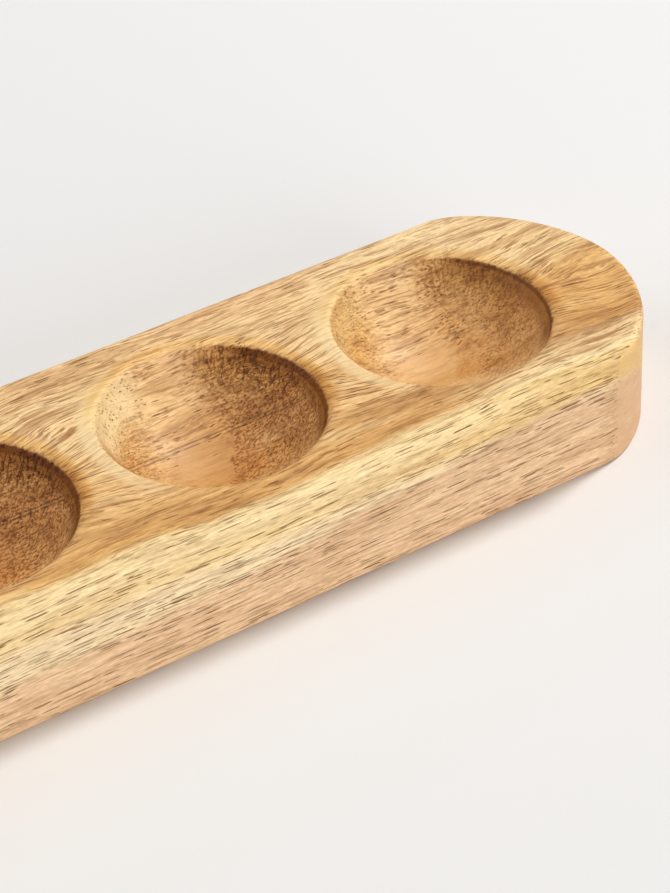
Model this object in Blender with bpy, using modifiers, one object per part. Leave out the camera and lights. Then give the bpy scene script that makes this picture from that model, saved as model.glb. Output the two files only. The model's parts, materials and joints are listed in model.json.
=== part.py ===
# Egg tray milled from one length of hardwood.
# A row of bowl-shaped wells is cut into its top face, one egg to a well.
# Metres, +Z up. The origin is the middle of the underside, and +X runs along the row.
import math

import bmesh
import bpy

# Wells
WELL_COUNT = 6
WELL_MOUTH_RADIUS = 0.026  # where the bowl and the top face would meet without a lip
WELL_DEPTH = 0.0175
WELL_LIP_ROUND = 0.002
WELL_GAP = 0.0105  # wood between two neighbouring mouths

# Block around the wells
FLOOR_THICKNESS = 0.0115  # wood left under each bowl
SIDE_LAND = 0.01175  # from a mouth to the foot of the long side
END_LAND = 0.025  # from the last mouth to the foot of the rounded end
END_CURVE_DEPTH = 0.0305  # length of a rounded end, measured along the row
END_HANDLE_SHARE = 0.465  # fullness of the end curve, where 0.552 would be an ellipse
SIDE_DRAFT = 0.001  # how far the sides lean in from foot to top
TOP_ROUND = 0.0019
BASE_ROUND = 0.0011

# Cutting
CUTTER_OVERRUN = 0.004
WELD_SHARE = 0.005  # points closer than this share of the lip's radius are one point
FLAT_ANGLE = math.radians(0.1)

# Facets
POINTS_PER_END = 3
END_CURVE_STEPS = 16
WELL_STEPS = 48
BOWL_SEGMENTS = 9
LIP_SEGMENTS = 4
ROUND_SEGMENTS = 4

# Sizes that follow from the ones above
WELL_PITCH = 2 * WELL_MOUTH_RADIUS + WELL_GAP
ROW_HALF_LENGTH = WELL_PITCH * (WELL_COUNT - 1) / 2
TRAY_HEIGHT = WELL_DEPTH + FLOOR_THICKNESS
HALF_WIDTH = WELL_MOUTH_RADIUS + SIDE_LAND
HALF_LENGTH = ROW_HALF_LENGTH + WELL_MOUTH_RADIUS + END_LAND
STRAIGHT_HALF_LENGTH = HALF_LENGTH - END_CURVE_DEPTH
BOWL_RADIUS = (WELL_MOUTH_RADIUS**2 + WELL_DEPTH**2) / (2 * WELL_DEPTH)
BOWL_CENTRE_HEIGHT = TRAY_HEIGHT - WELL_DEPTH + BOWL_RADIUS
MERGE_DISTANCE = WELD_SHARE * WELL_LIP_ROUND

WOOD_COLOUR = (0.62, 0.36, 0.15, 1.0)
WOOD_ROUGHNESS = 0.5


def clear_scene():
    for obj in list(bpy.data.objects):
        bpy.data.objects.remove(obj, do_unlink=True)


def make_collection(name):
    collection = bpy.data.collections.new(name)
    bpy.context.scene.collection.children.link(collection)
    return collection


def oiled_hardwood():
    material = bpy.data.materials.new("oiled_hardwood")
    material.use_nodes = True
    shader = material.node_tree.nodes["Principled BSDF"]
    shader.inputs["Base Color"].default_value = WOOD_COLOUR
    shader.inputs["Roughness"].default_value = WOOD_ROUGHNESS
    shader.inputs["Metallic"].default_value = 0.0
    return material


def set_outline_point(point, place, before, after):
    """Places one point of the plan outline. A side given as None runs straight."""
    point.co = (*place, 0)
    point.handle_left_type = "VECTOR" if before is None else "FREE"
    point.handle_right_type = "VECTOR" if after is None else "FREE"
    if before is not None:
        point.handle_left = (*before, 0)
    if after is not None:
        point.handle_right = (*after, 0)


def make_plan_outline():
    """The tray seen from above: two straight sides, and ends that are fuller than a point."""
    curve = bpy.data.curves.new("plan_outline", "CURVE")
    curve.dimensions = "2D"
    curve.fill_mode = "BOTH"
    curve.resolution_u = END_CURVE_STEPS
    curve.extrude = TRAY_HEIGHT / 2
    spline = curve.splines.new("BEZIER")
    spline.use_cyclic_u = True
    spline.bezier_points.add(2 * POINTS_PER_END - 1)
    shoulder_reach = STRAIGHT_HALF_LENGTH + END_HANDLE_SHARE * END_CURVE_DEPTH
    tip_reach = END_HANDLE_SHARE * HALF_WIDTH
    for end, side in enumerate((1, -1)):
        first = POINTS_PER_END * end
        entry, tip, leave = list(spline.bezier_points)[first : first + POINTS_PER_END]
        x, y = side * STRAIGHT_HALF_LENGTH, side * HALF_WIDTH
        tip_x, tip_y = side * HALF_LENGTH, side * tip_reach
        reach = side * shoulder_reach
        set_outline_point(entry, (x, -y), None, (reach, -y))
        set_outline_point(tip, (tip_x, 0), (tip_x, -tip_y), (tip_x, tip_y))
        set_outline_point(leave, (x, y), (reach, y), None)
    return bpy.data.objects.new("plan_outline", curve)


def lean_sides_in(mesh):
    """Draws the top outline in by the draft, with the foot left at full size."""
    for vertex in mesh.vertices:
        if vertex.co.z > 0:
            vertex.co.x *= 1 - SIDE_DRAFT / HALF_LENGTH
            vertex.co.y *= 1 - SIDE_DRAFT / HALF_WIDTH


def make_block(collection, material):
    outline = make_plan_outline()
    collection.objects.link(outline)
    bpy.context.view_layer.update()
    graph = bpy.context.evaluated_depsgraph_get()
    mesh = bpy.data.meshes.new_from_object(outline.evaluated_get(graph))
    bpy.data.objects.remove(outline, do_unlink=True)

    shape = bmesh.new()
    shape.from_mesh(mesh)
    bmesh.ops.remove_doubles(shape, verts=shape.verts, dist=MERGE_DISTANCE)
    bmesh.ops.dissolve_limit(shape, angle_limit=FLAT_ANGLE, verts=shape.verts, edges=shape.edges)
    bmesh.ops.recalc_face_normals(shape, faces=shape.faces)
    shape.to_mesh(mesh)
    shape.free()
    lean_sides_in(mesh)
    mesh.shade_smooth()
    mesh.materials.clear()
    mesh.materials.append(material)

    block = bpy.data.objects.new("tray_body", mesh)
    block.location.z = TRAY_HEIGHT / 2
    collection.objects.link(block)
    return block


def round_outer_edges(block):
    top = block.vertex_groups.new(name="top_edge")
    base = block.vertex_groups.new(name="base_edge")
    top.add([v.index for v in block.data.vertices if v.co.z > 0], 1.0, "ADD")
    base.add([v.index for v in block.data.vertices if v.co.z < 0], 1.0, "ADD")
    for group, radius in ((top, TOP_ROUND), (base, BASE_ROUND)):
        rounding = block.modifiers.new(f"{group.name}_round", "BEVEL")
        rounding.limit_method = "VGROUP"
        rounding.vertex_group = group.name
        rounding.width = radius
        rounding.segments = ROUND_SEGMENTS


def lip_and_bowl_profile():
    """(radius, height) points of the surface that a cutter leaves, from outside the lip to the floor.

    The lip is an arc inside the wood that touches the top face and the bowl. The first point mirrors the
    second across the top face, so that the cutter crosses that face at a slope and not along it.
    """
    lip_height = TRAY_HEIGHT - WELL_LIP_ROUND
    drop = BOWL_CENTRE_HEIGHT - lip_height
    lip_radius = math.sqrt((BOWL_RADIUS + WELL_LIP_ROUND) ** 2 - drop**2)
    lip_turn = math.atan2(lip_radius, drop)
    step = lip_turn / LIP_SEGMENTS
    rise = WELL_LIP_ROUND * (1 - math.cos(step))
    points = [(lip_radius + WELL_LIP_ROUND * math.sin(step), TRAY_HEIGHT + rise)]
    for number in range(1, LIP_SEGMENTS + 1):
        turn = number * step
        radius = lip_radius - WELL_LIP_ROUND * math.sin(turn)
        points.append((radius, lip_height + WELL_LIP_ROUND * math.cos(turn)))
    for number in range(1, BOWL_SEGMENTS + 1):
        turn = lip_turn * (1 - number / BOWL_SEGMENTS)
        height = BOWL_CENTRE_HEIGHT - BOWL_RADIUS * math.cos(turn)
        points.append((BOWL_RADIUS * math.sin(turn), height))
    return points


def make_cutter_mesh():
    surface = lip_and_bowl_profile()
    cutter_top = TRAY_HEIGHT + CUTTER_OVERRUN
    profile = [(0, cutter_top), (surface[0][0], cutter_top)] + surface
    mesh = bpy.data.meshes.new("well_cutter")
    edges = [(number, number + 1) for number in range(len(profile) - 1)]
    mesh.from_pydata([(radius, 0, height) for radius, height in profile], edges, [])
    return mesh


def make_cutter(collection, mesh, number):
    cutter = bpy.data.objects.new(f"well_cutter_{number + 1}", mesh)
    cutter.location.x = number * WELL_PITCH - ROW_HALF_LENGTH
    cutter.hide_render = True
    cutter.display_type = "WIRE"
    collection.objects.link(cutter)
    turning = cutter.modifiers.new("turned", "SCREW")
    turning.axis = "Z"
    turning.angle = math.tau
    turning.steps = WELL_STEPS
    turning.render_steps = WELL_STEPS
    turning.use_merge_vertices = True
    turning.merge_threshold = MERGE_DISTANCE
    return cutter


def cut_wells(block, collection, material):
    mesh = make_cutter_mesh()
    mesh.materials.append(material)
    for number in range(WELL_COUNT):
        cutter = make_cutter(collection, mesh, number)
        cut = block.modifiers.new(f"well_{number + 1}", "BOOLEAN")
        cut.operation = "DIFFERENCE"
        cut.solver = "EXACT"
        cut.object = cutter


def build_tray():
    clear_scene()
    tray_parts = make_collection("egg_tray")
    cutters = make_collection("egg_tray_cutters")
    wood = oiled_hardwood()
    block = make_block(tray_parts, wood)
    round_outer_edges(block)
    cut_wells(block, cutters, wood)
    block.modifiers.new("even_shading", "WEIGHTED_NORMAL")


build_tray()
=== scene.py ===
import json
import math

import bmesh
import bpy
from mathutils import Matrix, Vector, geometry, noise


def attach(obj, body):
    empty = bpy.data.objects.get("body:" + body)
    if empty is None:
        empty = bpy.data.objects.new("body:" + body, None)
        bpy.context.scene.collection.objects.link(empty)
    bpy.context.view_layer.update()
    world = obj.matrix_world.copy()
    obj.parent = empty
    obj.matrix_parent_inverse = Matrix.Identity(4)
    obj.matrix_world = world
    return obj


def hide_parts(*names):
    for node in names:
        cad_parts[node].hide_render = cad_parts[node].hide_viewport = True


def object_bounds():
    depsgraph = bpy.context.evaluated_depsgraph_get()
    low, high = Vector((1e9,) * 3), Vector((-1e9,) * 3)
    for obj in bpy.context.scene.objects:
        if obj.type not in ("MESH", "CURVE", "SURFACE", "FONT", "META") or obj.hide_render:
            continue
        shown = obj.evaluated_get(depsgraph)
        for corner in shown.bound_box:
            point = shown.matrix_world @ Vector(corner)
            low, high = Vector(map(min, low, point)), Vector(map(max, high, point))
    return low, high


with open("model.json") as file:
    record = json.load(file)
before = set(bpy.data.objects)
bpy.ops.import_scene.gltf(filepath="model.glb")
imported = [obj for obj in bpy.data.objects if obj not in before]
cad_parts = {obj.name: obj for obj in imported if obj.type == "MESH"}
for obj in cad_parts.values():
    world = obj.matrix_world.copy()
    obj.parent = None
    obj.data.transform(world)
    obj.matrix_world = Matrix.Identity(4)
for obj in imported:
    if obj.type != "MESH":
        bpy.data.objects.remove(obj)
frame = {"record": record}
cadLow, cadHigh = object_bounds()  # the solid's box, before anything is added

# Egg tray milled from one length of hardwood: the fine surface, its wood, and the photo's view and light.
# Metres, +X along the row of wells, +Z up. The wood's own sizes are in millimetres.

millimetre = 0.001


view = {
    "target": (0.12896, 0.0049, 0.0),
    "azimuth": -32.21,  # degrees, where 0 looks along +Y
    "elevation": 38.24,
    "roll": -1.88,
    "distance": 0.5463,
    "lens": 92.76,
    "sensor": 36,
}


def addCamera():
    azimuth, elevation = math.radians(view["azimuth"]), math.radians(view["elevation"])
    level = math.cos(elevation)
    back = Vector((math.sin(azimuth) * level, -math.cos(azimuth) * level, math.sin(elevation)))
    data = bpy.data.cameras.new("photoCamera")
    data.sensor_width = view["sensor"]
    data.lens = view["lens"]
    camera = bpy.data.objects.new("photoCamera", data)
    camera.location = Vector(view["target"]) + back * view["distance"]
    turned = back.to_track_quat("Z", "Y").to_matrix() @ Matrix.Rotation(math.radians(view["roll"]), 3, "Z")
    camera.rotation_euler = turned.to_euler()
    bpy.context.scene.collection.objects.link(camera)
    bpy.context.scene.camera = camera
    print("camera set")


studio = {
    "lampDistance": 3.0,
    "lampColour": (1.0, 1.0, 1.0),
    # the side it stands on as a compass turn from +X to +Y, its elevation, its size and its power
    "lamps": {
        "windowLight": (9, 48, 0.55, 58.0),
        "frontFill": (-84, 17, 1.8, 39.0),
        "leftFill": (156, 32, 2.6, 24.0),
    },
    "domeStrength": 0.26,
    "domeColour": (1.0, 1.0, 1.0, 1.0),
    "floorHalf": 3.0,
    "floorColour": (0.868, 0.853, 0.835, 1.0),
    "floorRoughness": 0.9,
    "floorGloss": 0.1,
}


def addLamp(name, towards, elevation, size, power):
    turn, rise = math.radians(towards), math.radians(elevation)
    away = Vector((math.cos(turn) * math.cos(rise), math.sin(turn) * math.cos(rise), math.sin(rise)))
    data = bpy.data.lights.new(name, "AREA")
    data.shape = "DISK"
    data.size = size
    data.energy = power
    data.color = studio["lampColour"]
    lamp = bpy.data.objects.new(name, data)
    lamp.location = away * studio["lampDistance"]
    lamp.rotation_euler = away.to_track_quat("Z", "Y").to_euler()
    bpy.context.scene.collection.objects.link(lamp)


def addFloor():
    half = studio["floorHalf"]
    mesh = bpy.data.meshes.new("floor")
    corners = [(-half, -half, 0), (half, -half, 0), (half, half, 0), (-half, half, 0)]
    mesh.from_pydata(corners, [], [(0, 1, 2, 3)])
    paint = bpy.data.materials.new("palePaint")
    paint.use_nodes = True
    shader = paint.node_tree.nodes["Principled BSDF"]
    shader.inputs["Base Color"].default_value = studio["floorColour"]
    shader.inputs["Roughness"].default_value = studio["floorRoughness"]
    shader.inputs["Specular IOR Level"].default_value = studio["floorGloss"]
    mesh.materials.append(paint)
    floor = bpy.data.objects.new("floor", mesh)
    bpy.context.scene.collection.objects.link(floor)


def addStudio():
    for name, place in studio["lamps"].items():
        addLamp(name, *place)
    world = bpy.data.worlds.new("paleRoom")
    world.use_nodes = True
    dome = world.node_tree.nodes["Background"]
    dome.inputs["Color"].default_value = studio["domeColour"]
    dome.inputs["Strength"].default_value = studio["domeStrength"]
    bpy.context.scene.world = world
    addFloor()
    bpy.context.scene.view_settings.view_transform = "Standard"
    print("studio lit:", len(studio["lamps"]), "lamps")


tray = {
    "endCurveDepth": 0.0305,  # length of a rounded end
    "endFullness": 0.465,  # 0.552 would be an ellipse
    "sideDraft": 0.001,
    "topRound": 0.0019,
    "baseRound": 0.0011,
    "flatBand": 0.0006,  # level ring that keeps the top's shading flat
    "mouthRadius": 0.026,
    "wellDepth": 0.0175,
    "lipRound": 0.002,
    "endSteps": 34,
    "sideSteps": 60,
    "roundSteps": 8,
    "wallSteps": 6,
    "rimSteps": 288,
    "lipSteps": 8,
    "bowlSteps": 34,
    "edgeWander": 0.16,  # how much the hand-sanded edges vary, as a share of their radius
    "edgeWanderLength": 0.021,
    "lipWander": 0.22,
    "lipWanderTurns": 1.6,
    "lipWanderSeed": 3.7,
    "wellSeedStep": 0.01,  # each well varies in its own way
    "tornWay": 35.0,  # compass turn from +X to +Y, in degrees, where the cutter met the grain head-on
    "tornDepth": 0.00016,  # raised grain at the rims
    "tornReach": 0.009,  # how far down the wall it goes
    "tornTurns": 30.0,
    "tornHeight": 0.0016,
}


def wellCentres():
    boxes = [o["box_m"] for o in frame["record"]["physics"]["openings"] if o["name"].endswith("_bowl")]
    return sorted((low[0] + high[0]) / 2 for low, high in boxes)


def planOutline():
    # the tray from above, anticlockwise, as (place, way out) pairs
    halfLength, halfWidth = cadHigh.x, cadHigh.y
    straight = halfLength - tray["endCurveDepth"]
    reach = straight + tray["endFullness"] * tray["endCurveDepth"]
    lift = tray["endFullness"] * halfWidth
    knots = (
        Vector((straight, -halfWidth)),
        Vector((reach, -halfWidth)),
        Vector((halfLength, -lift)),
        Vector((halfLength, 0)),
    )
    quarter = geometry.interpolate_bezier(*knots, tray["endSteps"] + 1)
    rightEnd = quarter + [Vector((p.x, -p.y)) for p in reversed(quarter[:-1])]
    leftEnd = [-p for p in rightEnd]
    steps = tray["sideSteps"]
    side = [straight * (1 - 2 * number / steps) for number in range(1, steps)]
    back = [Vector((x, halfWidth)) for x in side]
    front = [-p for p in back]
    ring = rightEnd + back + leftEnd + front
    outline = []
    for number, place in enumerate(ring):
        along = ring[(number + 1) % len(ring)] - ring[number - 1]
        outline.append((place, Vector((along.y, -along.x)).normalized()))
    return outline


def edgeProfile(topRound):
    # (inset, height) from the underside up over the outer edge to the level top
    height, baseRound, draft = cadHigh.z, tray["baseRound"], tray["sideDraft"]
    rounds, walls = tray["roundSteps"], tray["wallSteps"]
    profile = []
    for number in range(rounds):
        turn = math.pi / 2 * number / rounds
        profile.append((baseRound * (1 - math.sin(turn)), baseRound * (1 - math.cos(turn))))
    wallTop = height - topRound
    for number in range(walls):
        level = baseRound + (wallTop - baseRound) * number / walls
        profile.append((draft * (level - baseRound) / height, level))
    lean = draft * (wallTop - baseRound) / height
    for number in range(rounds + 1):
        turn = math.pi / 2 * number / rounds
        profile.append((lean + topRound * (1 - math.cos(turn)), wallTop + topRound * math.sin(turn)))
    profile.append((lean + topRound + tray["flatBand"], height))
    return profile


def bowlProfile(lipRound):
    # (radius, height) from the level top over the lip and down the bowl, without its lowest point
    height, depth, mouth = cadHigh.z, tray["wellDepth"], tray["mouthRadius"]
    bowlRadius = (mouth**2 + depth**2) / (2 * depth)
    centreHeight = height - depth + bowlRadius
    drop = centreHeight - height + lipRound
    lipRadius = math.sqrt((bowlRadius + lipRound) ** 2 - drop**2)
    lipTurn = math.atan2(lipRadius, drop)
    profile = [(lipRadius + tray["flatBand"], height)]
    for number in range(tray["lipSteps"] + 1):
        turn = lipTurn * number / tray["lipSteps"]
        lipHeight = height - lipRound * (1 - math.cos(turn))
        profile.append((lipRadius - lipRound * math.sin(turn), lipHeight))
    for number in range(1, tray["bowlSteps"]):
        turn = lipTurn * (1 - number / tray["bowlSteps"])
        profile.append((bowlRadius * math.sin(turn), centreHeight - bowlRadius * math.cos(turn)))
    return profile


def joinRings(shape, rings):
    for lower, upper in zip(rings, rings[1:]):
        for number in range(len(lower)):
            shape.faces.new((lower[number - 1], lower[number], upper[number], upper[number - 1]))


def addOutside(shape):
    columns = []
    for place, out in planOutline():
        wander = noise.noise(Vector((place.x, place.y, 0.0)) / tray["edgeWanderLength"])
        profile = edgeProfile(tray["topRound"] * (1 + tray["edgeWander"] * wander))
        column = []
        for inset, level in profile:
            point = place - out * inset
            column.append(shape.verts.new((point.x, point.y, level)))
        columns.append(column)
    rings = [list(ring) for ring in zip(*columns)]
    joinRings(shape, rings)
    shape.faces.new(rings[0])


def raisedGrain(turn, level, seed):
    # how far the wall stands out or in where the cutter tore it, most at the rim and on two opposite sides
    torn = math.sqrt(max(0.0, math.cos(2 * (turn - math.radians(tray["tornWay"])))))
    fading = 1 - (cadHigh.z - level) / tray["tornReach"]
    if fading <= 0:
        return 0.0
    texture = noise.noise(Vector((turn * tray["tornTurns"], level / tray["tornHeight"], seed)))
    return tray["tornDepth"] * torn * fading * texture


def addWell(shape, centre):
    columns = []
    steps = tray["rimSteps"]
    seed = centre / tray["wellSeedStep"]
    for number in range(steps):
        turn = math.tau * number / steps
        way = Vector((math.cos(turn), math.sin(turn), 0.0))
        wander = noise.noise(way * tray["lipWanderTurns"] + Vector((seed, tray["lipWanderSeed"], 0.0)))
        profile = bowlProfile(tray["lipRound"] * (1 + tray["lipWander"] * wander))
        column = []
        for step, (radius, level) in enumerate(profile):
            if step > 1:  # the level ring and the lip's first point stay true
                radius += raisedGrain(turn, level, seed)
            column.append(shape.verts.new(way * radius + Vector((centre, 0.0, level))))
        columns.append(column)
    rings = [list(ring) for ring in zip(*columns)]
    joinRings(shape, rings)
    lowest = shape.verts.new((centre, 0.0, cadHigh.z - tray["wellDepth"]))
    last = rings[-1]
    for number in range(steps):
        shape.faces.new((last[number - 1], last[number], lowest))


def buildTray():
    shape = bmesh.new()
    addOutside(shape)
    for centre in wellCentres():
        addWell(shape, centre)
    openEdges = [edge for edge in shape.edges if edge.is_boundary]
    bmesh.ops.triangle_fill(shape, use_beauty=True, edges=openEdges)  # the level top between the rings
    bmesh.ops.recalc_face_normals(shape, faces=shape.faces)
    mesh = bpy.data.meshes.new("trayWood")
    shape.to_mesh(mesh)
    shape.free()
    mesh.shade_smooth()
    piece = bpy.data.objects.new("tray_wood", mesh)
    bpy.context.scene.collection.objects.link(piece)
    mesh.materials.append(oiledHardwood())
    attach(piece, "root")
    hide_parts("tray_body")
    loose = sum(1 for edge in mesh.edges if edge.is_loose)
    print("tray built:", len(mesh.polygons), "faces,", loose, "loose edges")


# The material is a chain of small node functions. Each takes the tree and the places in the wood, `at`, and
# gives the colour back with one thing added. Its numbers stand in the dictionary above it:
# a ramp is (from, to, value before, value after), and goes from 0 to 1 where only two numbers are given;
# a texture is its sizes along and across the grain in millimetres, its seed, its detail and its roughness;
# vessels are the length and width of their cells, their own width, and their seed;
# a side is a compass turn from +X to +Y in degrees, and a ramp on the cosine of the way to it.


def put(tree, kind, feeds=None, **settings):
    # adds a node; feeds gives its inputs, each a socket to join or a value to set
    step = tree.nodes.new("ShaderNode" + kind)
    for name, value in settings.items():
        setattr(step, name, value)
    for name, value in (feeds or {}).items():
        if isinstance(value, bpy.types.NodeSocket):
            tree.links.new(value, step.inputs[name])
        else:
            step.inputs[name].default_value = value
    return step


def calc(tree, operation, *values):
    return put(tree, "Math", dict(enumerate(values)), operation=operation).outputs[0]


def times(tree, first, *others):
    product = first
    for value in others:
        product = calc(tree, "MULTIPLY", product, value)
    return product


def plus(tree, base, value, weight):
    return calc(tree, "MULTIPLY_ADD", value, weight, base)


def waver(tree, base, texture, amount):
    # moves base up and down by a texture whose middle is 0.5
    return plus(tree, base, calc(tree, "SUBTRACT", texture, 0.5), amount)


def apart(tree, value, middle):
    return calc(tree, "ABSOLUTE", calc(tree, "SUBTRACT", value, middle))


def span(tree, value, low, high, start=0.0, end=1.0, kind="SMOOTHSTEP"):
    # start below low, end above high, and a smooth step or a straight line between them
    feeds = {"Value": value, "From Min": low, "From Max": high, "To Min": start, "To Max": end}
    return put(tree, "MapRange", feeds, interpolation_type=kind).outputs["Result"]


def mixIn(tree, colour, share, other, mode="MIX"):
    added = (*other, 1.0) if isinstance(other, tuple) else other
    step = put(tree, "Mix", {0: share, 6: colour, 7: added}, data_type="RGBA", blend_type=mode)
    return step.outputs[2]


def darken(tree, colour, share, shade):
    return mixIn(tree, colour, share, shade, "MULTIPLY")


def vector(tree, operation, *values):
    return put(tree, "VectorMath", dict(enumerate(values)), operation=operation).outputs[0]


def scaled(tree, place, share):
    return put(tree, "VectorMath", {0: place, 3: share}, operation="SCALE").outputs[0]


def stretch(tree, place, sizes, seed):
    # counts millimetres in steps of the given sizes
    steps = vector(tree, "MULTIPLY", place, tuple(1 / size for size in sizes))
    return vector(tree, "ADD", steps, (seed,) * 3)


def cloud(tree, place, sizes, seed, detail, rough):
    feeds = {"Vector": stretch(tree, place, sizes, seed), "Scale": 1.0, "Detail": detail, "Roughness": rough}
    return put(tree, "TexNoise", feeds)


def grain(tree, place, sizes, seed, detail, rough):
    return cloud(tree, place, sizes, seed, detail, rough).outputs["Fac"]


vesselShape = {
    "edge": (0.7, 1.3),  # from its dark middle to its soft edge, as shares of half its width
    "depths": (0.0, 1.0, 0.45, 1.0),  # some are shallower than others
}


def vessels(tree, place, presence, length, gap, width, seed):
    # short dark tubes along the grain, one to a cell where chance is under presence
    cells = stretch(tree, place, (length, gap, gap), seed)
    texture = put(tree, "TexVoronoi", {"Vector": cells, "Scale": 1.0}, feature="F1", distance="CHEBYCHEV")
    chance, depth, _ = put(tree, "SeparateColor", {0: texture.outputs["Color"]}).outputs
    inner, outer = (edge * width / (2 * gap) for edge in vesselShape["edge"])
    hole = span(tree, texture.outputs["Distance"], inner, outer, 1.0, 0.0)
    depth = span(tree, depth, *vesselShape["depths"], kind="LINEAR")
    return times(tree, hole, depth, calc(tree, "LESS_THAN", chance, presence))


def over(tree, at, **ramps):
    # a ramp over each of the named places, multiplied together
    return times(tree, *(span(tree, at[name], *ramp) for name, ramp in ramps.items()))


def sideOf(tree, at, degrees, low, high):
    # grows towards the side of a bowl that lies at this compass turn
    turn = math.radians(degrees)
    to = (math.cos(turn), math.sin(turn), 0.0)
    facing = put(tree, "VectorMath", {0: at["way"], 1: to}, operation="DOT_PRODUCT").outputs["Value"]
    return span(tree, facing, low, high)


bowls = {
    "beyondRow": 40.0,  # added to the radius past the last bowl, where nothing lies near one
    "rowFade": 1.0,
    "mouthEdge": ((1.1, 1.1, 1.1), 8.8, 2.0, 0.6),
    "mouthRagged": 0.9,
    "mouthRadii": (27.2, 27.6, 1.0, 0.0),
    "mouthHeights": (28.1, 28.8, 1.0, 0.0),
    "floorRadii": (8.5, 13.0, 1.0, 0.0),
    # the bowls took up more or less oil along the row: a slow wave over the middle of each
    "toneTurn": 0.01,
    "toneStart": 1.26,
    "toneMiddle": 0.65,
    "toneSwing": 0.35,
    "deepTones": (0.65, 1.0),
}


def rowPlaces():
    centres = [centre / millimetre for centre in wellCentres()]
    return centres, centres[1] - centres[0]


def addBowlPlaces(tree, at):
    centres, pitch = rowPlaces()
    rowEnd = centres[-1] + pitch / 2
    at["along"] = calc(tree, "WRAP", calc(tree, "SUBTRACT", at["x"], centres[0]), pitch / 2, -pitch / 2)
    at["fromAxis"] = calc(tree, "ABSOLUTE", at["along"])
    out = put(tree, "CombineXYZ", {0: at["along"], 1: at["y"]}).outputs[0]
    at["way"] = vector(tree, "NORMALIZE", out)
    beside = over(tree, at, fromMiddle=(rowEnd - bowls["rowFade"], rowEnd, 1.0, 0.0))
    radius = put(tree, "VectorMath", {0: out}, operation="LENGTH").outputs["Value"]
    at["radius"] = plus(tree, radius, calc(tree, "SUBTRACT", 1.0, beside), bowls["beyondRow"])

    ragged = waver(tree, at["z"], grain(tree, at["flat"], *bowls["mouthEdge"]), bowls["mouthRagged"])
    below = span(tree, ragged, *bowls["mouthHeights"])
    at["inside"] = times(tree, beside, below, over(tree, at, radius=bowls["mouthRadii"]))
    at["floor"] = times(tree, at["inside"], over(tree, at, radius=bowls["floorRadii"]))

    at["centre"] = calc(tree, "SUBTRACT", at["x"], at["along"])
    wave = calc(tree, "SINE", plus(tree, bowls["toneStart"], at["centre"], bowls["toneTurn"]))
    at["tone"] = plus(tree, bowls["toneMiddle"], wave, bowls["toneSwing"])
    at["deep"] = over(tree, at, tone=bowls["deepTones"])


grainWaves = {
    # how far the grain bends, and over what lengths along it and across it
    "bends": ((3.6, 85.0, 34.0), (3.4, 26.0, 12.0), (1.0, 9.0, 4.5)),
    "firstSeed": 3.1,
    "seedStep": 5.3,
    "frontCalm": (-37.0, -31.0, 0.25, 1.0),  # the small bends are weaker on the front side
    # one long wave to a well, which turns over from the front of the row to its back
    "swirl": (-9.0, 3.0, -2.4, 2.4),
    "swirlReach": (14.0, 25.0, 1.0, 0.0),
    "swirlHeights": (22.0, 28.0),
    "smoothness": (1.0, 0.5),  # detail and roughness of the bends
    "lean": 0.89,  # a growth layer rises this much for each step towards the front
}


def addGrainPlaces(tree, at):
    # bends the grain, and turns its places into the wood's own axes: fibre, tangent and layer
    swirl = calc(tree, "SINE", calc(tree, "MULTIPLY", at["along"], math.tau / rowPlaces()[1]))
    swirl = times(tree, swirl, over(tree, at, y=grainWaves["swirl"], fromRow=grainWaves["swirlReach"]))
    swirl = times(tree, swirl, over(tree, at, z=grainWaves["swirlHeights"]))
    place = vector(tree, "ADD", at["flat"], put(tree, "CombineXYZ", {1: swirl}).outputs[0])
    frontCalm = over(tree, at, y=grainWaves["frontCalm"])
    for number, (amount, along, across) in enumerate(grainWaves["bends"]):
        seed = grainWaves["firstSeed"] + grainWaves["seedStep"] * number
        wave = cloud(tree, at["flat"], (along, across, across), seed, *grainWaves["smoothness"])
        push = vector(tree, "SUBTRACT", wave.outputs["Color"], (0.5,) * 3)
        push = vector(tree, "MULTIPLY", push, (0.0, amount, amount))
        if number:
            push = scaled(tree, push, frontCalm)
        place = vector(tree, "ADD", place, push)
    x, y, z = put(tree, "SeparateXYZ", {0: place}).outputs
    at["place"] = place
    at["layer"] = plus(tree, z, y, grainWaves["lean"])
    tangent = plus(tree, y, z, -grainWaves["lean"])
    at["fibre"] = put(tree, "CombineXYZ", {0: x, 1: tangent, 2: at["layer"]}).outputs[0]


corners = {
    # sanded smooth where the sides turn into the rounded ends
    "places": (177.0, 181.0),
    "upward": (0.5, 0.8, 1.0, 0.0),
}


def woodPlaces(tree):
    # every place that the material asks for, by name, in millimetres or as a share from 0 to 1
    coordinates = put(tree, "TexCoord")
    at = {"flat": scaled(tree, coordinates.outputs["Object"], 1 / millimetre)}
    at["x"], at["y"], at["z"] = put(tree, "SeparateXYZ", {0: at["flat"]}).outputs
    at["fromMiddle"] = calc(tree, "ABSOLUTE", at["x"])
    at["fromRow"] = calc(tree, "ABSOLUTE", at["y"])
    endwise, _, at["upward"] = put(tree, "SeparateXYZ", {0: coordinates.outputs["Normal"]}).outputs
    at["endwise"] = calc(tree, "ABSOLUTE", endwise)
    at["corner"] = over(tree, at, fromMiddle=corners["places"], upward=corners["upward"])
    addBowlPlaces(tree, at)
    addGrainPlaces(tree, at)
    return at


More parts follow.
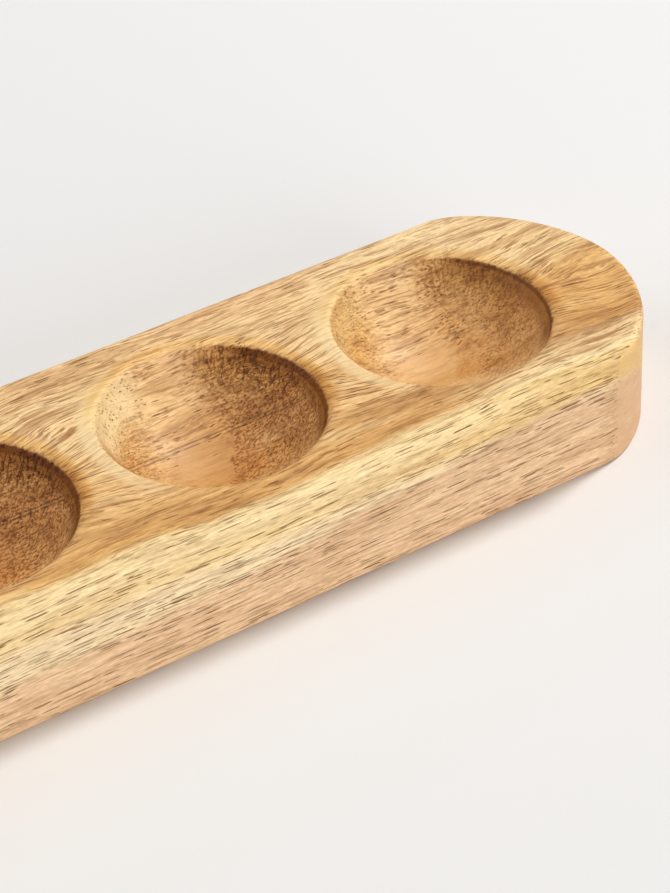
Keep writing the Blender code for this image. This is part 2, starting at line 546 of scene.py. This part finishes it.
growth = {
    "lowLayer": -40.0,
    "highLayer": 70.0,
    # layer level, and its colour
    "layers": (
        (-13.0, (1.0, 0.78, 0.47)),
        (-9.0, (1.0, 0.73, 0.35)),
        (-4.0, (1.0, 0.77, 0.41)),
        (0.8, (1.0, 0.75, 0.37)),
        (2.7, (0.83, 0.46, 0.145)),
        (4.5, (0.81, 0.44, 0.15)),
        (9.0, (0.86, 0.50, 0.18)),
        (15.0, (0.93, 0.58, 0.25)),
        (23.0, (0.92, 0.56, 0.23)),
        (29.0, (0.96, 0.62, 0.28)),
        (35.0, (0.98, 0.68, 0.33)),
        (47.0, (0.98, 0.67, 0.33)),
        (55.0, (0.94, 0.62, 0.30)),
        (62.0, (0.94, 0.60, 0.30)),
    ),
    "pale": (1.0, 0.77, 0.42),
    "brown": (0.40, 0.17, 0.05),
    # pink heartwood lies under the sapwood, below a border that sways along the row
    "pink": (0.90, 0.60, 0.35),
    "pinkBelow": (-2.0, 1.4, 1.0, 0.0),
    "borderLayer": -15.0,
    "borderSway": 5.2,
    "swayMiddle": 108.0,
    "swayLength": 55.0,
    "borderEdge": ((14.0, 3.0, 3.0), 1.7, 2.0, 0.6),
    "borderRagged": 5.0,
    "sapwoodBelow": (-0.8, 0.8, 1.0, 0.0),
    "sapwoodAbove": (-0.5, 2.0),
    # the sapwood is golden towards the right end
    "goldPlaces": (105.0, 185.0),
    "goldShade": (0.96, 0.88, 0.70),
    # and the middle layers fade there
    "fadeFrom": (-0.5, 1.5),
    "fadeTo": (6.0, 9.0, 1.0, 0.0),
    "fadeBack": (45.0, 51.0, 0.0, 0.8),
    "fadePlaces": (128.0, 160.0, 0.0, 0.6),
}


def layerColour(tree, layer):
    low, high = growth["lowLayer"], growth["highLayer"]
    ramp = put(tree, "ValToRGB", {0: span(tree, layer, low, high, kind="LINEAR")})
    stops = ramp.color_ramp.elements
    stops.remove(stops[-1])
    for number, (level, colour) in enumerate(growth["layers"]):
        where = (level - low) / (high - low)
        stop = stops[0] if number == 0 else stops.new(where)
        stop.position = where
        stop.color = (*colour, 1.0)
    return ramp.outputs["Color"]


def growthColour(tree, at):
    colour = layerColour(tree, at["layer"])
    sway = calc(tree, "DIVIDE", calc(tree, "SUBTRACT", at["x"], growth["swayMiddle"]), growth["swayLength"])
    border = plus(tree, growth["borderLayer"], calc(tree, "SINE", sway), growth["borderSway"])
    above = calc(tree, "SUBTRACT", at["layer"], border)
    at["above"] = waver(tree, above, grain(tree, at["fibre"], *growth["borderEdge"]), growth["borderRagged"])
    at["sapwood"] = over(tree, at, layer=growth["sapwoodBelow"], above=growth["sapwoodAbove"])
    gold = times(tree, at["sapwood"], over(tree, at, x=growth["goldPlaces"]))
    colour = darken(tree, colour, gold, growth["goldShade"])
    colour = mixIn(tree, colour, over(tree, at, above=growth["pinkBelow"]), growth["pink"])
    faded = times(tree, over(tree, at, layer=growth["fadeFrom"]), over(tree, at, layer=growth["fadeTo"]))
    faded = calc(tree, "MAXIMUM", faded, over(tree, at, layer=growth["fadeBack"]))
    faded = times(tree, faded, over(tree, at, x=growth["fadePlaces"]))
    return mixIn(tree, colour, faded, growth["pale"])


streaks = {
    # the streaks are weaker in the sapwood and the pink wood, on the bowls' floors and at the corners
    "sapwoodCalm": -0.5,
    "pinkCalm": (-2.0, 1.4, 0.5, 1.0),
    "smoothCalm": -0.7,
    "endsStrong": (170.0, 188.0, 1.0, 1.5),
    "broad": ((38.0, 8.0, 4.4), 5.5, 3.0, 0.6),
    "broadDark": (0.45, 0.72, 0.0, 0.46),
    "broadPale": (0.28, 0.48, 0.45, 0.0),
    # a brown stain along one layer at the right end
    "stainLayer": 9.0,
    "stainReach": (1.5, 5.5, 0.30, 0.0),
    "stainPlaces": (104.0, 120.0),
    "narrow": ((17.0, 2.4, 1.7), 2.2, 3.0, 0.6),
    "narrowDark": (0.47, 0.70, 0.0, 0.50),
    "lines": ((14.0, 2.0, 0.55), 6.6, 2.0, 0.55),
    "linesDark": (0.53, 0.61),
    "linesWeight": 0.56,
    "linesCrowded": 0.24,
    # the wood is busier between two wells and on the front strip of the top
    "betweenWells": (23.0, 28.0),
    "betweenReach": (16.0, 27.0, 1.0, 0.0),
    "frontStrip": (-29.0, -24.0, 1.0, 0.0),
    "frontLayers": (2.0, 4.0),
}


def addStreaks(tree, at, colour):
    calm = plus(tree, 1.0, at["sapwood"], streaks["sapwoodCalm"])
    calm = times(tree, calm, over(tree, at, above=streaks["pinkCalm"]))
    for smooth in (at["floor"], at["corner"]):
        calm = times(tree, calm, plus(tree, 1.0, smooth, streaks["smoothCalm"]))

    broad = grain(tree, at["fibre"], *streaks["broad"])
    dark = times(tree, span(tree, broad, *streaks["broadDark"]), calm)
    dark = times(tree, dark, over(tree, at, fromMiddle=streaks["endsStrong"]))
    stain = span(tree, apart(tree, at["layer"], streaks["stainLayer"]), *streaks["stainReach"])
    stain = times(tree, stain, calm, over(tree, at, x=streaks["stainPlaces"]))
    colour = mixIn(tree, colour, calc(tree, "ADD", dark, stain), growth["brown"])
    colour = mixIn(tree, colour, span(tree, broad, *streaks["broadPale"]), growth["pale"])

    narrow = grain(tree, at["fibre"], *streaks["narrow"])
    dark = times(tree, span(tree, narrow, *streaks["narrowDark"]), calm)
    colour = mixIn(tree, colour, dark, growth["brown"])

    between = over(tree, at, fromAxis=streaks["betweenWells"], fromRow=streaks["betweenReach"])
    strip = over(tree, at, y=streaks["frontStrip"], layer=streaks["frontLayers"])
    at["crowded"] = calc(tree, "MAXIMUM", between, strip)
    lines = grain(tree, at["fibre"], *streaks["lines"])
    weight = plus(tree, streaks["linesWeight"], at["crowded"], streaks["linesCrowded"])
    dark = times(tree, span(tree, lines, *streaks["linesDark"]), calm, weight)
    return mixIn(tree, colour, dark, growth["brown"])


fibres = {
    "hair": ((5.0, 0.60, 0.55), 7.9, 2.0, 0.6),
    "fleck": ((1.8, 0.70, 0.60), 3.3, 1.0, 0.5),
    "base": 0.53,
    "hairWeight": 0.52,
    "fleckWeight": 0.42,
    "smoothCalm": -0.6,
    "greenPower": 1.25,  # dark fibres are browner and not only darker
    "bluePower": 1.6,
}


def addFibres(tree, at, colour):
    at["hair"] = grain(tree, at["fibre"], *fibres["hair"])
    glow = plus(tree, fibres["base"], at["hair"], fibres["hairWeight"])
    glow = plus(tree, glow, grain(tree, at["fibre"], *fibres["fleck"]), fibres["fleckWeight"])
    level = plus(tree, 1.0, calc(tree, "MAXIMUM", at["corner"], at["floor"]), fibres["smoothCalm"])
    glow = plus(tree, 1.0, calc(tree, "SUBTRACT", glow, 1.0), level)
    green = calc(tree, "POWER", glow, fibres["greenPower"])
    blue = calc(tree, "POWER", glow, fibres["bluePower"])
    shade = put(tree, "CombineXYZ", {0: glow, 1: green, 2: blue}).outputs[0]
    return darken(tree, colour, 1.0, shade)


ends = {
    # end grain
    "upright": (0.4, 0.8, 1.0, 0.0),
    "turned": (0.05, 0.70, 0.55, 1.0),
    "endPlaces": (173.0, 180.0),
    "endGrainShade": (0.76, 0.68, 0.61),
    # a golden tone on the top of the right end
    "goldLayers": (6.0, 12.0),
    "goldUpTo": (28.0, 36.0, 1.0, 0.15),
    "goldPlaces": (171.0, 184.0),
    "goldRadii": (26.0, 28.0),
    "goldShade": (0.89, 0.79, 0.62),
}


def shadeEnds(tree, at, colour):
    golden = over(tree, at, x=ends["goldPlaces"], layer=ends["goldLayers"], radius=ends["goldRadii"])
    golden = times(tree, golden, over(tree, at, layer=ends["goldUpTo"]))
    colour = darken(tree, colour, golden, ends["goldShade"])
    endGrain = over(tree, at, endwise=ends["turned"], upward=ends["upright"], fromMiddle=ends["endPlaces"])
    return darken(tree, colour, endGrain, ends["endGrainShade"])


pores = {
    # open vessels come in denser and thinner stretches, and the smooth places have few
    "density": ((30.0, 5.0, 4.0), 4.4, 2.0, 0.6),
    "floorSpared": -0.8,
    "presence": (0.38, 0.58, 0.05, 0.38),
    "crowded": 0.14,
    "long": (11.0, 0.64, 0.29, 0.0),
    "short": (7.5, 0.54, 0.26, 31.0),
    "depth": 0.90,
    "shade": (0.31, 0.19, 0.09),
}


def addPores(tree, at, colour):
    at["density"] = grain(tree, at["fibre"], *pores["density"])
    spared = plus(tree, 1.0, at["floor"], pores["floorSpared"])
    at["spared"] = times(tree, spared, calc(tree, "SUBTRACT", 1.0, at["corner"]))
    presence = plus(tree, over(tree, at, density=pores["presence"]), at["crowded"], pores["crowded"])
    presence = times(tree, presence, at["spared"])
    long = vessels(tree, at["place"], presence, *pores["long"])
    short = vessels(tree, at["place"], presence, *pores["short"])
    at["pores"] = times(tree, calc(tree, "MAXIMUM", long, short), pores["depth"])
    return darken(tree, colour, at["pores"], pores["shade"])


dashes = {
    # bolder vessels in the sapwood, most of them along its border, and fine long ones in the pink wood
    "nearBorder": (2.0, 4.5, 0.86, 0.46),
    "inPink": (-6.0, -0.8, 0.40, 1.0),
    "belowTop": (-1.5, -0.2, 1.0, 0.0),
    "stretches": (0.34, 0.52, 0.35, 1.0),
    "leftFewer": (50.0, 95.0, 0.75, 1.0),
    "thick": (10.0, 0.62, 0.30, 57.0),
    "thin": (9.5, 0.50, 0.26, 91.0),
    "finePlaces": (-3.0, -0.5, 0.9, 0.0),
    "fine": (40.0, 0.70, 0.30, 71.0),
    "fineDepth": 0.70,
    "shade": (0.21, 0.12, 0.05),
}


def addDashes(tree, at, colour):
    presence = span(tree, calc(tree, "ABSOLUTE", at["above"]), *dashes["nearBorder"])
    presence = times(tree, presence, over(tree, at, above=dashes["inPink"], layer=dashes["belowTop"]))
    presence = times(tree, presence, over(tree, at, density=dashes["stretches"], x=dashes["leftFewer"]))
    presence = times(tree, presence, at["spared"])
    thick = vessels(tree, at["place"], presence, *dashes["thick"])
    thin = vessels(tree, at["place"], presence, *dashes["thin"])
    presence = times(tree, over(tree, at, above=dashes["finePlaces"]), at["spared"])
    fine = times(tree, vessels(tree, at["place"], presence, *dashes["fine"]), dashes["fineDepth"])
    bold = calc(tree, "MAXIMUM", calc(tree, "MAXIMUM", thick, thin), fine)
    at["pores"] = calc(tree, "MAXIMUM", at["pores"], bold)
    return darken(tree, colour, bold, dashes["shade"])


bowlOilAndFrontLight = {
    "oiledPlaces": (-6.0, 7.0, 0.15, 1.0),
    "shade": (0.96, 0.90, 0.86),
    "floorShade": (0.85, 0.77, 0.71),
    # painted light: the front of each bowl is made paler, up to a ragged edge
    "patches": ((2.4, 2.4, 2.4), 15.1, 3.0, 0.65),
    "paintedLightWander": 11.0,
    "paintedLightAcross": (-16.0, -5.0, 0.92, 0.0),
    "paintedLightAlong": (0.0, 11.0, 1.0, 0.25),
    "paintedLightHeights": (26.5, 28.0, 1.0, 0.3),
}


def oilBowlsAndLightFronts(tree, at, colour):
    oiled = times(tree, at["inside"], at["deep"], over(tree, at, along=bowlOilAndFrontLight["oiledPlaces"]))
    colour = darken(tree, colour, oiled, bowlOilAndFrontLight["shade"])
    colour = darken(tree, colour, times(tree, at["floor"], at["deep"]), bowlOilAndFrontLight["floorShade"])
    at["patchy"] = grain(tree, at["place"], *bowlOilAndFrontLight["patches"])
    # painted light on the front walls, mixed towards the pale wood colour
    across = waver(tree, at["y"], at["patchy"], bowlOilAndFrontLight["paintedLightWander"])
    along = waver(tree, at["along"], at["patchy"], bowlOilAndFrontLight["paintedLightWander"])
    pale = times(tree, span(tree, across, *bowlOilAndFrontLight["paintedLightAcross"]), span(tree, along, *bowlOilAndFrontLight["paintedLightAlong"]))
    pale = times(tree, pale, at["inside"], over(tree, at, z=bowlOilAndFrontLight["paintedLightHeights"]))
    return mixIn(tree, colour, pale, growth["pale"])


darkLine = {
    # a thin dark double line runs round inside the bowls, along one layer
    "layer": 22.3,
    "bend": ((22.0, 6.0, 6.0), 9.3, 3.0, 0.7),
    "bendAmount": 1.1,
    "halfGap": 0.55,
    "width": (0.08, 0.38, 1.0, 0.0),
    "breaks": ((3.0, 1.5, 1.5), 19.7, 2.0, 0.7),
    "broken": (0.34, 0.54, 0.30, 0.85),
    "deepWeight": 0.95,
    "weight": 0.05,
    "heights": (22.0, 26.5, 1.0, 0.0),
    "colour": (0.24, 0.12, 0.05),
}


def addDarkLine(tree, at, colour):
    straightLayer = plus(tree, at["z"], at["y"], grainWaves["lean"])
    level = waver(tree, straightLayer, grain(tree, at["fibre"], *darkLine["bend"]), darkLine["bendAmount"])
    off = apart(tree, apart(tree, level, darkLine["layer"]), darkLine["halfGap"])
    breaks = grain(tree, at["flat"], *darkLine["breaks"])
    line = times(tree, span(tree, off, *darkLine["width"]), span(tree, breaks, *darkLine["broken"]))
    line = times(tree, line, plus(tree, darkLine["weight"], at["deep"], darkLine["deepWeight"]))
    line = times(tree, line, at["inside"], over(tree, at, z=darkLine["heights"]))
    return mixIn(tree, colour, line, darkLine["colour"])


walls = {
    # cut across the grain the wood is darker: golden on the left wall of a bowl, and brown on the right,
    # with a slanting ragged edge between that and the smooth floor
    "slant": -0.65,
    "slantRagged": 7.5,
    "slantEdge": (3.6, 5.2),
    "slantReach": (5.0, 9.0, 1.0, 0.0),
    "left": (-21.0, -5.6, 1.0, 0.0),
    "right": (5.0, 12.0),
    "leftRadii": (20.0, 25.0, 1.0, 0.35),
    "leftShade": (0.88, 0.76, 0.56),
    "rightShade": (0.98, 0.90, 0.80),
    # the bowls that took little oil are golden at the back left
    "goldSide": (140.0, 0.80, 0.985),
    "goldHeights": (14.0, 20.0),
    "goldTones": (0.3, 0.8, 1.0, 0.12),
    "goldShade": (0.83, 0.73, 0.52),
    # and the others have a pale patch there, partly paler wood and partly a painted sheen
    "patchSide": (137.0, 0.80, 0.96),
    "patchHeights": (19.0, 23.5),
    "paleAndSheenWeight": 0.65,
    "paleAndSheenColour": (1.0, 0.82, 0.46),
}


def shadeWalls(tree, at, colour):
    at["slanted"] = plus(tree, at["along"], at["y"], walls["slant"])
    at["slanted"] = waver(tree, at["slanted"], at["patchy"], walls["slantRagged"])
    low = over(tree, at, slanted=walls["slantEdge"], y=walls["slantReach"])
    right = calc(tree, "MAXIMUM", over(tree, at, along=walls["right"]), low)
    at["rightWall"] = times(tree, right, at["inside"])
    at["leftWall"] = times(tree, over(tree, at, along=walls["left"]), at["inside"])
    gilt = times(tree, at["leftWall"], at["deep"], over(tree, at, radius=walls["leftRadii"]))
    colour = darken(tree, colour, gilt, walls["leftShade"])
    colour = darken(tree, colour, at["rightWall"], walls["rightShade"])
    gilded = times(tree, sideOf(tree, at, *walls["goldSide"]), at["inside"])
    gilded = times(tree, gilded, over(tree, at, z=walls["goldHeights"], deep=walls["goldTones"]))
    colour = darken(tree, colour, gilded, walls["goldShade"])
    # the pale patch: partly paler wood, partly a painted sheen
    patch = times(tree, sideOf(tree, at, *walls["patchSide"]), over(tree, at, z=walls["patchHeights"]))
    at["patch"] = times(tree, patch, at["inside"], at["deep"])
    return mixIn(tree, colour, times(tree, at["patch"], walls["paleAndSheenWeight"]), walls["paleAndSheenColour"])


stippling = {
    # small specks and open dots on the walls, more where the bowl took more oil
    "rim": (25.4, 26.8, 1.0, 0.15),
    "leftWeight": 0.6,
    "patchSpared": -0.85,
    "speck": ((0.9, 0.58, 0.58), 12.7, 2.0, 0.6),
    "speckDark": (0.47, 0.60),
    "speckWeight": 0.10,
    "speckDeep": 0.80,
    "dot": (1.7, 0.90, 0.46, 83.0),
    "dotPresence": 0.5,
    "dotPresenceDeep": 0.5,
    "dotWeight": 0.3,
    "dotDeep": 0.65,
    "weight": 0.9,
    "shade": (0.40, 0.26, 0.15),
}


def stippleWalls(tree, at, colour):
    left = times(tree, at["leftWall"], stippling["leftWeight"])
    dotted = times(tree, calc(tree, "MAXIMUM", left, at["rightWall"]), over(tree, at, z=stippling["rim"]))
    at["dotted"] = times(tree, dotted, plus(tree, 1.0, at["patch"], stippling["patchSpared"]))
    speck = span(tree, grain(tree, at["place"], *stippling["speck"]), *stippling["speckDark"])
    speck = times(tree, speck, plus(tree, stippling["speckWeight"], at["deep"], stippling["speckDeep"]))
    presence = plus(tree, stippling["dotPresence"], at["deep"], stippling["dotPresenceDeep"])
    dot = vessels(tree, at["place"], presence, *stippling["dot"])
    dot = times(tree, dot, plus(tree, stippling["dotWeight"], at["deep"], stippling["dotDeep"]))
    at["stipple"] = times(tree, calc(tree, "MAXIMUM", speck, dot), at["dotted"])
    return darken(tree, colour, times(tree, at["stipple"], stippling["weight"]), stippling["shade"])


pits = {
    # open vessels in the pale patch, seen end-on
    "presence": 0.85,
    "pit": (1.9, 0.80, 0.36, 47.0),
    "shade": (0.28, 0.17, 0.08),
}


def addPits(tree, at, colour):
    pit = vessels(tree, at["place"], times(tree, at["patch"], pits["presence"]), *pits["pit"])
    return darken(tree, colour, pit, pits["shade"])


flecks = {
    # longer open vessels on the back half of the floor
    "middle": (9.0, 16.0, 0.55, 0.0),
    "radii": (9.0, 13.0),
    "back": (-4.0, 3.0),
    "fleck": (6.0, 0.95, 0.42, 23.0),
    "weight": 0.85,
    "colour": (0.32, 0.14, 0.045),
}


def addFlecks(tree, at, colour):
    presence = over(tree, at, fromAxis=flecks["middle"], radius=flecks["radii"], y=flecks["back"])
    fleck = vessels(tree, at["place"], times(tree, presence, at["inside"]), *flecks["fleck"])
    return mixIn(tree, colour, times(tree, fleck, flecks["weight"]), flecks["colour"])


tearing = {
    # where the cutter met the grain head-on the wall is torn into short dark strokes that run down it
    "reach": (0.74, 0.96),
    "wallHeights": (18.5, 24.0),
    "lipHeights": (28.3, 28.8, 1.0, 0.0),
    "shade": (0.83, 0.73, 0.52),
    "rimRadius": 26.0,
    "strokeDrop": 0.42,  # heights count for less, so that a stroke is longer down the wall than round it
    "strokes": ((0.8, 0.8, 0.8), 2.0, 2.0, 0.7),
    "strokeDark": (0.49, 0.58),
    "weight": 0.70,
    "deepWeight": 0.30,
    "depth": 0.85,
    "strokeShade": (0.28, 0.17, 0.08),
}


def tearRims(tree, at, colour):
    torn = times(tree, sideOf(tree, at, tray["tornWay"], *tearing["reach"]), at["inside"], at["tone"])
    torn = times(tree, torn, over(tree, at, z=tearing["wallHeights"]))
    torn = times(tree, torn, over(tree, at, z=tearing["lipHeights"]))
    colour = darken(tree, colour, torn, tearing["shade"])
    around = scaled(tree, at["way"], tearing["rimRadius"])
    down = plus(tree, at["centre"], at["z"], tearing["strokeDrop"])  # unlike from well to well
    down = put(tree, "CombineXYZ", {2: down}).outputs[0]
    strokes = grain(tree, vector(tree, "ADD", around, down), *tearing["strokes"])
    strokes = times(tree, span(tree, strokes, *tearing["strokeDark"]), torn)
    at["strokes"] = times(tree, strokes, plus(tree, tearing["weight"], at["deep"], tearing["deepWeight"]))
    return darken(tree, colour, times(tree, at["strokes"], tearing["depth"]), tearing["strokeShade"])


lips = {
    # a smooth darker brown band below the lips, and a thin dark line of painted shade where they roll into
    # the wall, round the back and the brown wall
    "rightPlaces": (12.0, 20.0),
    "leftPlaces": (-18.0, -6.0, 0.15, 0.0),
    "bandHeights": (22.8, 26.2),
    "bandEdge": (28.3, 28.7, 1.0, 0.0),
    "bandShade": (0.50, 0.38, 0.20),
    "lipShadowHeights": (27.4, 28.0),
    "paintedLipShadow": (0.60, 0.46, 0.28),
}


def lipBandAndPaintedShadow(tree, at, colour):
    right = over(tree, at, along=lips["rightPlaces"])
    left = over(tree, at, along=lips["leftPlaces"])
    sides = times(tree, calc(tree, "MAXIMUM", right, left), at["inside"])
    band = times(tree, over(tree, at, z=lips["bandHeights"]), over(tree, at, z=lips["bandEdge"]))
    colour = darken(tree, colour, times(tree, band, sides, at["tone"]), lips["bandShade"])
    # painted shade: a thin dark line where the lip rolls into the wall
    line = span(tree, calc(tree, "ADD", at["deep"], at["z"]), *lips["lipShadowHeights"])
    return darken(tree, colour, times(tree, line, sides), lips["paintedLipShadow"])


rings = {
    # oil crept out over the top beside the lips, and beside the left lips a painted highlight lies on the
    # top
    "topHeights": (26.0, 28.0),
    "highlightRadii": (28.4, 31.0, 0.55, 0.0),
    "highlightSide": (165.0, 0.50, 0.90),
    "goldRadii": (27.6, 30.4, 1.0, 0.0),
    "goldSide": (60.0, -0.30, 0.30),
    "goldShade": (0.97, 0.87, 0.64),
    "darkRadii": (26.8, 29.6, 1.0, 0.0),
    "darkSide": (-8.0, 0.86, 0.98),
    "darkShade": (0.72, 0.60, 0.46),
}


def ringWells(tree, at, colour):
    outside = times(tree, calc(tree, "SUBTRACT", 1.0, at["inside"]), over(tree, at, z=rings["topHeights"]))
    # painted highlight beside the left lips, mixed towards the pale wood colour
    pale = times(tree, over(tree, at, radius=rings["highlightRadii"]), sideOf(tree, at, *rings["highlightSide"]))
    colour = mixIn(tree, colour, times(tree, pale, outside), growth["pale"])
    gold = times(tree, over(tree, at, radius=rings["goldRadii"]), sideOf(tree, at, *rings["goldSide"]))
    colour = darken(tree, colour, times(tree, gold, outside, at["tone"]), rings["goldShade"])
    dark = times(tree, over(tree, at, radius=rings["darkRadii"]), sideOf(tree, at, *rings["darkSide"]))
    return darken(tree, colour, times(tree, dark, outside), rings["darkShade"])


finish = {
    "roughness": 0.44,
    "hairRough": 0.16,
    "poreRough": 0.25,
    "stippleRough": 0.12,
    "gloss": 0.3,
    # relief, as shares of the bump's depth
    "hairHeight": 0.35,
    "poreHeight": -1.0,
    "stippleHeight": -0.7,
    "strokeHeight": -1.2,
    "bumpStrength": 0.6,
    "bumpDepth": 0.12,
}


def finishSurface(tree, at, shader):
    roughness = plus(tree, finish["roughness"], at["hair"], finish["hairRough"])
    roughness = plus(tree, roughness, at["pores"], finish["poreRough"])
    roughness = plus(tree, roughness, at["dotted"], finish["stippleRough"])
    height = times(tree, at["hair"], finish["hairHeight"])
    height = plus(tree, height, at["pores"], finish["poreHeight"])
    height = plus(tree, height, at["stipple"], finish["stippleHeight"])
    height = plus(tree, height, at["strokes"], finish["strokeHeight"])
    depth = finish["bumpDepth"] * millimetre
    bump = put(tree, "Bump", {"Height": height, "Strength": finish["bumpStrength"], "Distance": depth})
    tree.links.new(roughness, shader.inputs["Roughness"])
    tree.links.new(bump.outputs["Normal"], shader.inputs["Normal"])
    shader.inputs["Specular IOR Level"].default_value = finish["gloss"]


def oiledHardwood():
    material = bpy.data.materials.new("oiledHardwood")
    material.use_nodes = True
    tree = material.node_tree
    shader = tree.nodes["Principled BSDF"]
    at = woodPlaces(tree)
    colour = growthColour(tree, at)
    wholeTray = (addStreaks, addFibres, shadeEnds, addPores, addDashes)
    inBowls = (oilBowlsAndLightFronts, addDarkLine, shadeWalls, addPits, stippleWalls, addFlecks)
    atRims = (tearRims, lipBandAndPaintedShadow, ringWells)
    for layOn in wholeTray + inBowls + atRims:
        colour = layOn(tree, at, colour)
    tree.links.new(colour, shader.inputs["Base Color"])
    finishSurface(tree, at, shader)
    print("wood finished:", len(tree.nodes), "nodes")
    return material


addCamera()
addStudio()
buildTray()
